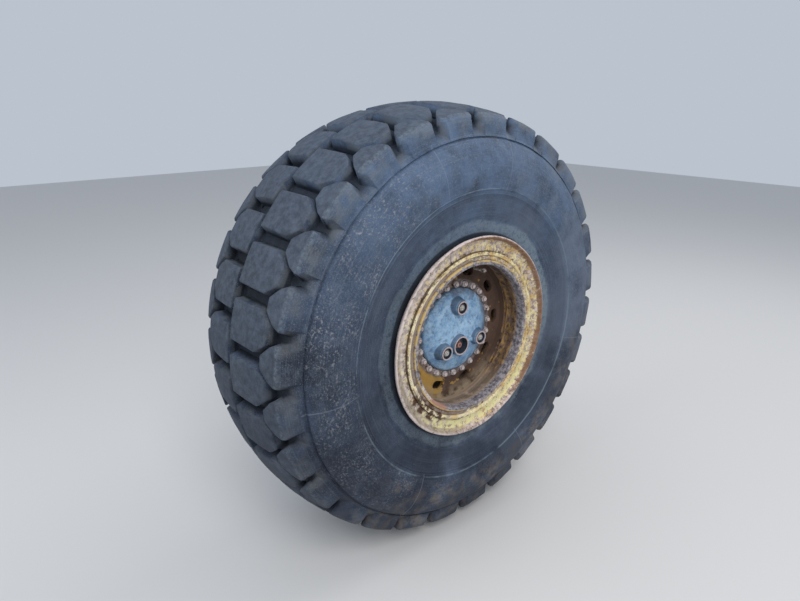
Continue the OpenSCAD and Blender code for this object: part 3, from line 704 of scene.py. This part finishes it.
band = spun("seat_band", [(base + seat_gap, 204.5), (toe, 204.5), (seat, flange_in), (seat, band_lip[0]),
                          (band_r, band_lip[0]), (band_r, band_lip[1] - 2), (band_r - 2, band_lip[1]),
                          (318.5, band_lip[1]), (315.7, 292.7), (base + seat_gap, 276.7)])
soften(band, 1.4)
batter(band, 60, 0.9)
dress(band, "bead_seat_band", rim_yellow)

split = math.degrees(split_len / base)
ring_in = base + seat_gap
ring_profile = [(291.2, groove[0] + seat_gap), (291.2, groove[1] - seat_gap), (ring_in, groove[1] - seat_gap),
                (ring_in, 293.7), (302.5, 296.7), (313.5, 296.7), (315.5, 294.7), (315.5, 292.9),
                (ring_in, 277.1), (ring_in, groove[0] + seat_gap)]
lock_ring = spun("split_ring", ring_profile, split_at + split / 2, 360 - split)
soften(lock_ring, 1.2)
batter(lock_ring, 50, 0.8)
dress(lock_ring, "lock_ring", rim_yellow)

key_sweep = math.degrees(key_len / band_r)
key_profile = [(base + 1, 296.9), (308, 296.9), (315.5, 296.9), (318.5, band_lip[1]),
               (band_r - 4, band_lip[1]), (band_r - 4, band_lip[1] + 7), (318, band_lip[1] + 7),
               (308, band_lip[1] + 6), (base + 2, band_lip[1] + 5)]
key = spun("key_block", key_profile, key_at - key_sweep / 2, key_sweep, 24)
soften(key, 2.0)
batter(key, 16, 3.0)
batter(key, 6, 1.2)
dress(key, "driver_key", rim_yellow)

# Rusted barrel: brown scale, golden where the paint lasts and where a painted highlight falls at the lower
# right, dust in its lowest part, and a bruised gutter lip.
# The lip and the step behind it lie between two widths from the mid-plane, and the lip's crown between two
# distances from the axle, in metres.
gutter_lip = (0.262, 0.274)
gutter_step = (0.226, 0.256)
lip_crown = (0.295, 0.301)
rusted = Finish("rusted_barrel", specular=0.3)
rusted.round_axle(axle_y)
streaks = rusted.noise(1, 7, 0.7, rusted.rings(16, 8, 34))
rusted.colour = rusted.mix(rusted.between(streaks, 0.34, 0.64), (54, 42, 38), (138, 116, 104))
flecks = rusted.patches(1, 0.45, 0.58, 8, 0.74, rusted.rings(9, 8, 60))
# Golden flecks at the lower right: partly paint, partly a painted highlight.
golden = rusted.times(rusted.towards(-122, 44, 104), flecks)
rusted.lay(golden, (186, 146, 88), 0.85)
top_paint = rusted.times(rusted.towards(18, 22, 50), rusted.patches(22, 0.44, 0.58))
rusted.lay(top_paint, (140, 96, 40), 0.6)
silt = rusted.plus(rusted.towards(172, 8, 66), rusted.times(rusted.noise(20), 0.35))
rusted.lay(rusted.between(silt, 0.3, 0.9), (160, 142, 124), 0.85)
outboard = rusted.times(rusted.along, -1)
step_dark = rusted.times(rusted.band(outboard, *gutter_step, 0.01), rusted.patches(30, 0.3, 0.5))
rusted.lay(step_dark, (54, 42, 38), 0.5)
lip_zone = rusted.between(outboard, *gutter_lip)
mauve = rusted.mix(rusted.patches(70, 0.36, 0.64, 8, 0.75), (74, 68, 76), (166, 160, 162))
rusted.lay(lip_zone, mauve)
bruise = rusted.times(lip_zone, rusted.towards(136, 14, 17))
rusted.lay(bruise, (172, 126, 106), 0.85)
crumbs = rusted.times(lip_zone, rusted.towards(123, 6, 11), rusted.patches(110, 0.42, 0.54))
rusted.lay(crumbs, (206, 198, 190), 0.85)
yellow_rest = rusted.times(rusted.ring(*lip_crown, 0.002), lip_zone)
rusted.lay(rusted.times(yellow_rest, rusted.patches(36, 0.4, 0.5)), (206, 176, 108), 0.8)
crust = rusted.bump(rusted.noise(70, 7, 0.72), 3 * mm, 0.7)
crust = rusted.bump(rusted.noise(260, 3, 0.7), 0.8 * mm, 0.5, crust)
rim_rust = rusted.done(rusted.mix(lip_zone, 0.86, 0.68), crust)

# The base's outline: gutter and groove, outer side, fixed seat and its lip, then the barrel with its step.
base_profile = [(mouth, 298.7), (mouth + 3, 302.7), (base - 3, 302.7), (base, 299.7), (base, groove[1]),
                (base - 8.5, groove[1]), (base - 8.5, groove[0]), (base, groove[0]), (base, -192.5),
                (toe, -204.5), (seat, -flange_in), (seat, -band_lip[0]), (band_r, -band_lip[0]),
                (band_r, -band_lip[1] + 2), (band_r - 2, -band_lip[1]), (barrel + 3, -band_lip[1]),
                (barrel, -band_lip[1] + 3), (barrel, 0), (barrel, 100), (barrel, 202.7),
                (mouth, 212.7), (mouth, 225), (mouth + 1.6, 229), (mouth + 1.6, 236), (mouth, 240),
                (mouth, 262)]
rim_base = spun("rolled_base", base_profile)
soften(rim_base, 1.4)
batter(rim_base, 60, 1.0)
dress(rim_base, "rim_base", rim_rust)


# Disc: a flame-cut plate welded into the rim, with hand holes, bolted to the hub by 24 studs. Yellow paint
# lasts at the lower left and near the top, and the rest is brown with rust. Its zones lie between two
# distances from the axle, in metres.
nut_seat = (0.160, 0.199)
weld_zone = (0.268, 0.278)
silt_zone = (0.225, 0.285)


def cast(node, name, width, segments=2, angle=28):
    """A copy of a CAD node with its loose triangles merged and its edges rounded, in millimetres."""
    choose(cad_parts[node])
    bpy.ops.object.duplicate()
    piece = bpy.context.object
    piece.name = name
    edit_all()
    bpy.ops.mesh.remove_doubles(threshold=0.005 * mm)
    bpy.ops.mesh.dissolve_limited(angle_limit=math.radians(0.6))
    bpy.ops.object.mode_set(mode="OBJECT")
    soften(piece, width, segments, angle)
    return piece


def lit(finish):
    """How squarely a surface faces outboard, from 0 to 1."""
    split = finish.add("ShaderNodeSeparateXYZ")
    texture = next(n for n in finish.tree.nodes if n.type == "TEX_COORD")
    finish.put(split.inputs[0], texture.outputs["Normal"])
    return finish.math("MULTIPLY", split.outputs[1], -1, clamp=True)


plate = Finish("rusted_disc_paint", specular=0.3)
plate.round_axle(axle_y)
mottle = plate.noise(34, 7, 0.68)
rust = plate.mix(mottle, (52, 40, 36), (104, 80, 66))
ochre = plate.mix(plate.noise(60, 5, 0.65), (150, 112, 52), (196, 158, 84))
kept = plate.math("MAXIMUM", plate.towards(138, 16, 44), plate.times(plate.towards(24, 12, 40), 0.8))
kept = plate.plus(kept, plate.times(plate.less(mottle, 0.5), 2.2))
kept = plate.math("MAXIMUM", plate.between(kept, 0.5, 0.62), plate.patches(40, 0.62, 0.68))
plate.colour = plate.mix(plate.times(kept, 0.9), rust, ochre)
greyed = plate.mix(mottle, (70, 62, 62), (156, 144, 140))
plate.lay(plate.ring(*nut_seat, 0.006), greyed, 0.8)
plate.lay(plate.between(plate.radius, *weld_zone), (60, 44, 34), 0.6)
silt = plate.times(plate.towards(180, 10, 62), plate.between(plate.radius, *silt_zone))
plate.lay(plate.times(silt, plate.patches(18, 0.34, 0.56)), (150, 134, 112), 0.8)
scale = plate.bump(plate.noise(120, 6, 0.7), 1.6 * mm, 0.6, plate.bump(kept, 0.5 * mm, 0.8))
disc_rust = plate.done(0.84, scale)
disc = cast("wheel_disc", "flame_cut_disc", 1.6)
batter(disc, 70, 0.6)
dress(disc, "wheel_disc", disc_rust)


# Planetary hub: a sand-cast carrier, painted blue over a rough skin. Three bosses hold the planet pins, and a
# larger one the filler plug. The paint has faded under dust, and the bosses' rims are chafed to bare pinkish
# metal. Heights are over the hub's face, in millimetres, and angles in degrees from the top, to the left.
hub_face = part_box("hub")[0].y
carrier_r = 169
carrier_edge = 36
dome_rise = 22
boss_top = 82
boss_foot = 4
pins = [6, 126, 246]
pin_circle = 106
pin_depth = 14
filler_at = 171
filler_circle = 52
filler_depth = 31
# Radii of the two kinds of boss: foot and neck of its cone, its round wall, and the recess in its top.
pin_foot, pin_neck, pin_wall, pin_recess = 47.5, 30.5, 27.3, 21.9
filler_foot, filler_neck, filler_wall, filler_recess = 52.5, 40.5, 38.3, 32.4


def spot(radius, angle, out):
    """A place by its distance from the axle, its angle, and its height over the hub's face."""
    a = math.radians(angle)
    return Vector((-radius * mm * math.sin(a), hub_face - out * mm, radius * mm * math.cos(a)))


def post(name, radius, angle, low, high, wide, narrow, sides=96):
    """A cone or cylinder that stands out from the hub, from one height over its face to another."""
    bpy.ops.mesh.primitive_cone_add(vertices=sides, radius1=wide * mm, radius2=narrow * mm,
                                    depth=(high - low) * mm, rotation=(math.pi / 2, 0, 0),
                                    location=spot(radius, angle, (low + high) / 2))
    piece = bpy.context.object
    piece.name = name
    bpy.ops.object.transform_apply(location=True, rotation=True, scale=True)
    return piece


def joined(pieces):
    """Joins pieces into the first of them."""
    choose(*pieces)
    bpy.ops.object.join()
    return pieces[0]


def cut(piece, tool):
    """Takes a tool's shape out of a piece, and removes the tool."""
    reshape(piece, "BOOLEAN", operation="DIFFERENCE", object=tool)
    bpy.data.objects.remove(tool)


face_w = (axle_y - hub_face) / mm
edge_w = face_w + carrier_edge
dome_profile = [(0, face_w), (carrier_r, face_w), (carrier_r, edge_w - 8), (carrier_r - 3, edge_w - 2),
                (carrier_r - 10, edge_w + 2), (carrier_r - 34, edge_w + 9), (carrier_r - 70, edge_w + 17),
                (carrier_r - 120, edge_w + dome_rise), (0, edge_w + dome_rise)]
casting = [spun("planet_casting", dome_profile, turns=128)]
for pin in pins:
    casting.append(post("boss", pin_circle, pin, boss_foot, boss_top - 8, pin_foot, pin_neck))
    casting.append(post("boss", pin_circle, pin, boss_foot, boss_top - 1, pin_wall, pin_wall))
casting.append(post("boss", filler_circle, filler_at, boss_foot, boss_top - 10, filler_foot, filler_neck))
casting.append(post("boss", filler_circle, filler_at, boss_foot, boss_top - 4, filler_wall, filler_wall))
# A low web ties the filler boss to the pin boss beside it.
for share in (0.42, 0.5, 0.58, 0.66, 0.74):
    middle = spot(filler_circle, filler_at, 0).lerp(spot(pin_circle, pins[2], 0), share)
    angle = math.degrees(math.atan2(-middle.x, middle.z))
    casting.append(post("web", math.hypot(middle.x, middle.z) / mm, angle, 30, carrier_edge + 27, 15, 7, 24))
carrier = joined(casting)
reshape(carrier, "REMESH", mode="VOXEL", voxel_size=2.4 * mm)
reshape(carrier, "SMOOTH", factor=0.5, iterations=9)
# A casting's skin is never quite even.
batter(carrier, 42, 0.9)
batter(carrier, 11, 0.35)
for pin in pins:
    cut(carrier, post("recess", pin_circle, pin, boss_top - pin_depth, boss_top + 8, pin_recess, pin_recess))
cut(carrier, post("recess", filler_circle, filler_at, boss_top - filler_depth, boss_top + 8,
                  filler_recess, filler_recess))
bpy.ops.object.shade_smooth_by_angle(angle=math.radians(45))


def dress_cast(node, name, width, material, body="wheel", segments=2, angle=28):
    """Puts a rounded copy of a CAD node in that node's place."""
    dress(cast(node, name, width, segments, angle), node, material, body)


def washer(name, radius, angle, low, high, inner, outer, rounding):
    """A ring with rounded edges that stands on the hub."""
    ring = post(name, radius, angle, low, high, outer, outer)
    cut(ring, post("hole", radius, angle, low - 5, high + 5, inner, inner))
    edit_all()
    bpy.ops.mesh.remove_doubles(threshold=0.005 * mm)
    bpy.ops.object.mode_set(mode="OBJECT")
    soften(ring, rounding, 3)
    return ring


rims = [washer("boss_rim", pin_circle, pin, boss_top - 12, boss_top, 22, 27.6, 1.5) for pin in pins]
rims.append(washer("boss_rim", filler_circle, filler_at, boss_top - 14, boss_top - 3, 32.5, 38.6, 1.8))
carrier = joined([carrier] + rims)

blue = Finish("dusty_blue_paint", specular=0.4)
blue.round_axle(axle_y)
out = blue.less(blue.times(blue.along, -1), axle_y - hub_face)
cloud = blue.noise(26, 7, 0.66)
blue.colour = blue.mix(blue.between(cloud, 0.34, 0.66), (92, 134, 174), (150, 182, 208))
pale = blue.times(blue.between(blue.radius, 0.125, 0.03), blue.patches(14, 0.3, 0.6))
blue.lay(pale, (168, 200, 226), 0.6)
worn = blue.noise(90, 6, 0.72)
blue.lay(blue.between(worn, 0.5, 0.62), (170, 190, 206), 0.55)
stains = blue.patches(48, 0.5, 0.64, 8, 0.74)
blue.lay(stains, (70, 90, 112), 0.6)
# Dirt stays at the carrier's edge, most of it at the upper right, and painted shade darkens the sides of the
# bosses.
edge_dirt = blue.between(blue.radius, 0.120, 0.164)
edge_side = blue.plus(blue.times(blue.towards(-48, 40, 100), 0.75), 0.25)
edge_dirt = blue.times(edge_dirt, edge_side, blue.patches(24, 0.3, 0.56))
blue.lay(edge_dirt, (84, 88, 100), 0.85)
square = lit(blue)
# Painted shade: the sides of the bosses, which face away from outboard, are a darker blue.
sides = blue.times(blue.between(square, 0.82, 0.35), blue.between(out, 0.034, 0.046))
blue.lay(sides, (62, 82, 106), 0.78)
# Painted shade darkens the recesses' walls, and the rims round them are bare.
tops = blue.times(blue.between(out, 0.0765, 0.0785), blue.between(square, 0.2, 0.7))
tip = blue.times(blue.between(out, 0.080, 0.0812), blue.between(square, -0.1, 0.1))
tops = blue.math("MAXIMUM", tops, tip)
for radius, angle, wide in [(pin_circle, pin, 22.6) for pin in pins] + [(filler_circle, filler_at, 33.2)]:
    middle = spot(radius, angle, 0)
    recess_wall_shade = blue.between(blue.from_line(middle.x, middle.z), (wide + 0.4) * mm, (wide - 0.4) * mm)
    recess_wall_shade = blue.times(recess_wall_shade, blue.between(out, 0.0812, 0.0765))
    blue.lay(recess_wall_shade, (30, 34, 42), 0.85)
rim_colour = blue.mix(blue.noise(140, 4, 0.7), (150, 128, 128), (206, 188, 182))
blue.lay(blue.times(tops, blue.patches(60, 0.3, 0.44)), rim_colour)
chips = blue.patches(150, 0.655, 0.69, 3)
blue.lay(chips, (84, 62, 54))
skin = blue.bump(blue.noise(210, 5, 0.7), 0.9 * mm, 0.5, blue.bump(worn, 0.8 * mm, 0.4))
dress(carrier, "planet_carrier", blue.done(blue.mix(cloud, 0.5, 0.72), skin))

# Plugs of bare steel with bright hexagons close the planet pins, and the filler's plug has rusted pink.
dull = Finish("dull_steel", metallic=0.55, specular=0.5)
dull.round_axle(axle_y)
from_filler = dull.ring(0.0, 0.0905, 0.0005)
steel = dull.mix(dull.noise(180, 5, 0.7), (150, 146, 144), (226, 220, 214))
pink = dull.mix(dull.noise(120, 5, 0.7), (130, 84, 78), (206, 156, 144))
dull.colour = dull.mix(from_filler, steel, pink)
for pin in pins:
    middle = spot(pin_circle, pin, 0)
    from_pin = dull.from_line(middle.x, middle.z)
    # Painted shade darkens each pin plug's outer ring, down in its boss's recess.
    shoulder = dull.between(from_pin, 10.6 * mm, 11.4 * mm)
    shoulder = dull.times(shoulder, dull.between(from_pin, 26 * mm, 24 * mm))
    dull.lay(shoulder, (46, 42, 44), 0.88)
    dull.lay(dull.between(from_pin, 3.6 * mm, 2.6 * mm), (96, 84, 82), 0.6)
middle = spot(filler_circle, filler_at, 0)
socket = dull.between(dull.from_line(middle.x, middle.z), 4.6 * mm, 3.4 * mm)
dull.lay(socket, (74, 40, 38), 0.85)
dull.lay(dull.patches(90, 0.6, 0.68), (76, 58, 50))
pitted = dull.bump(dull.noise(300, 4, 0.7), 0.5 * mm, 0.5)
plug_steel = dull.done(0.5, pitted)
dress_cast("planet_pin_plugs", "pin_plugs", 1.0, plug_steel)
dress_cast("filler_plug", "filler_bolt", 1.0, plug_steel)


# Wheel bolts: headed studs with chamfered hexagon nuts, forged steel. They have rusted grey and pink, and
# their ends, which stand clear of the nuts, are the palest.
bolt_count = 24
stud_circle = 185
stud_r = 8
nut_low = 18
nut_high = 30.8
nut_r = 13.86
nut = post("nut", stud_circle, 0, nut_low + 0.8, nut_high, nut_r, nut_r, 6)
bpy.ops.object.mode_set(mode="EDIT")
bpy.ops.mesh.select_all(action="DESELECT")
shape = bmesh.from_edit_mesh(nut.data)
for vert in shape.verts:
    vert.select = hub_face - vert.co.y > (nut_high - 1) * mm
shape.select_flush_mode()
bmesh.update_edit_mesh(nut.data)
bpy.ops.mesh.bevel(offset=2.6 * mm, affect="VERTICES", segments=1)
bpy.ops.object.mode_set(mode="OBJECT")
soften(nut, 0.7, 1, 20)
pad = post("pad", stud_circle, 0, nut_low, nut_low + 2.5, 14.6, 13.4, 32)
stud = post("stud", stud_circle, 0, nut_low, nut_high + 7, stud_r, stud_r, 24)
soften(stud, 1.5, 2, 50)
cut(stud, post("centre", stud_circle, 0, nut_high + 4.6, nut_high + 9, 1.0, 3.4, 12))
shank = post("shank", stud_circle, 0, -27, nut_low, stud_r, stud_r, 16)
head = post("head", stud_circle, 0, -38, -26, 12, 12, 24)
soften(head, 1.4, 2, 50)
bolts = joined([nut, pad, stud, shank, head])
bolts.name = "wheel_studs"
edit_all()
bpy.ops.mesh.spin(steps=bolt_count - 1, dupli=True, angle=math.tau * (bolt_count - 1) / bolt_count,
                  center=(0, 0, 0), axis=(0, 1, 0))
bpy.ops.mesh.select_all(action="SELECT")
bpy.ops.mesh.normals_make_consistent(inside=False)
bpy.ops.object.mode_set(mode="OBJECT")

forged = Finish("rusted_bolts", metallic=0.25, specular=0.4)
forged.round_axle(axle_y)
out = forged.less(forged.times(forged.along, -1), axle_y - hub_face)
rust = forged.mix(forged.patches(90, 0.3, 0.66, 5, 0.7), (106, 99, 100), (204, 194, 192))
ends = forged.times(forged.between(out, 0.0315, 0.0335), forged.between(lit(forged), 0.0, 0.5))
forged.colour = forged.mix(forged.times(ends, 0.8), rust, (220, 206, 202))
edges = forged.times(forged.between(out, 0.0285, 0.0305), forged.between(lit(forged), 0.3, 0.9))
forged.lay(edges, (192, 176, 172), 0.5)
forged.lay(forged.patches(40, 0.56, 0.66), (92, 60, 46))
bolt_rust = forged.done(0.66, forged.bump(forged.noise(260, 4, 0.7), 0.7 * mm, 0.6))
dress(bolts, "wheel_bolts", bolt_rust)


# Valve: a bent brass stem under a rubber sleeve, held in the gutter by a nut, with a screwed cap. Both are
# grey with dust.
sleeve = Finish("dusty_valve", specular=0.4)
dusted = sleeve.noise(120, 5, 0.7)
sleeve.colour = sleeve.mix(sleeve.between(dusted, 0.4, 0.62), (70, 64, 62), (172, 160, 150))
valve_dust = sleeve.done(0.7, sleeve.bump(dusted, 0.5 * mm, 0.5))
dress_cast("valve_stem", "valve_stem_bent", 0.8, valve_dust, angle=35)
dress_cast("valve_cap", "valve_cap_knurled", 1.0, valve_dust, angle=35)


# Hub barrel, seals and axle end: castings behind the disc, out of the rain, that carry oil-dark dirt and dry
# dust. The hub is bare iron, and the brake housing, its cover, the spindle and its flange are painted yellow.
iron = Finish("rusted_cast_iron", metallic=0.1, specular=0.35)
iron.round_axle(axle_y)
grit = iron.noise(46, 7, 0.68)
iron.colour = iron.mix(grit, (52, 46, 44), (110, 92, 80))
iron.lay(iron.patches(22, 0.54, 0.64), (126, 84, 58))
film = iron.times(iron.towards(0, 20, 80), iron.patches(30, 0.36, 0.56))
iron.lay(film, (150, 138, 122), 0.7)
hub_iron = iron.done(0.8, iron.bump(iron.noise(130, 6, 0.72), 1.4 * mm, 0.6))
dress_cast("hub", "hub_barrel", 3.0, hub_iron, segments=3)

# Seals and gears are ground steel with a film of oil.
oily = Finish("oily_ground_steel", metallic=0.8, specular=0.5)
oily.round_axle(axle_y)
turned = oily.noise(1, 3, 0.6, oily.rings(3, 700))
oily.colour = oily.mix(turned, (70, 70, 70), (140, 136, 130))
oily.lay(oily.patches(30, 0.5, 0.64), (46, 40, 36))
seal_grey = oily.done(0.35, oily.bump(turned, 0.2 * mm, 0.4))
dress_cast("hub_seal_ring", "seal_ring", 0.4, seal_grey)
dress_cast("face_seal", "seal_face", 0.4, seal_grey, "axle_end")
dress_cast("gear_set", "gear_block", 1.0, seal_grey)

# The axle end's paint has chips, a crust of dirt, dust on top and grease below.
yellow = Finish("dusty_axle_paint", specular=0.35)
yellow.round_axle(axle_y)
coat = yellow.mix(yellow.noise(12, 5, 0.6), (182, 138, 52), (208, 168, 84))
chipped = yellow.patches(44, 0.57, 0.60, 8, 0.7)
yellow.colour = yellow.mix(chipped, coat, (104, 70, 48))
dirt = yellow.patches(18, 0.42, 0.66, 7, 0.66)
yellow.lay(dirt, (86, 74, 62), 0.8)
film = yellow.times(yellow.towards(0, 15, 75), yellow.patches(26, 0.32, 0.54))
yellow.lay(film, (168, 152, 126), 0.75)
grease = yellow.times(yellow.towards(180, 10, 60), yellow.patches(20, 0.46, 0.58))
yellow.lay(grease, (44, 38, 32), 0.7)
rough = yellow.bump(yellow.noise(150, 5, 0.7), mm, 0.4)
relief = yellow.bump(chipped, 0.5 * mm, -0.8, rough)
axle_yellow = yellow.done(yellow.mix(dirt, 0.5, 0.85), relief)
for node, piece_name, rounding in (("spindle", "axle_spindle", 2.0), ("axle_flange", "flange_ring", 1.6),
                                   ("brake_housing", "finned_brake", 1.5),
                                   ("brake_piston_cover", "piston_cover", 1.5)):
    dress_cast(node, piece_name, rounding, axle_yellow, "axle_end")
dress_cast("brake_housing_bolts", "cover_bolts", 1.0, bolt_rust, "axle_end")
dress_cast("bleed_screw", "bleed_fitting", 0.6, plug_steel, "axle_end")
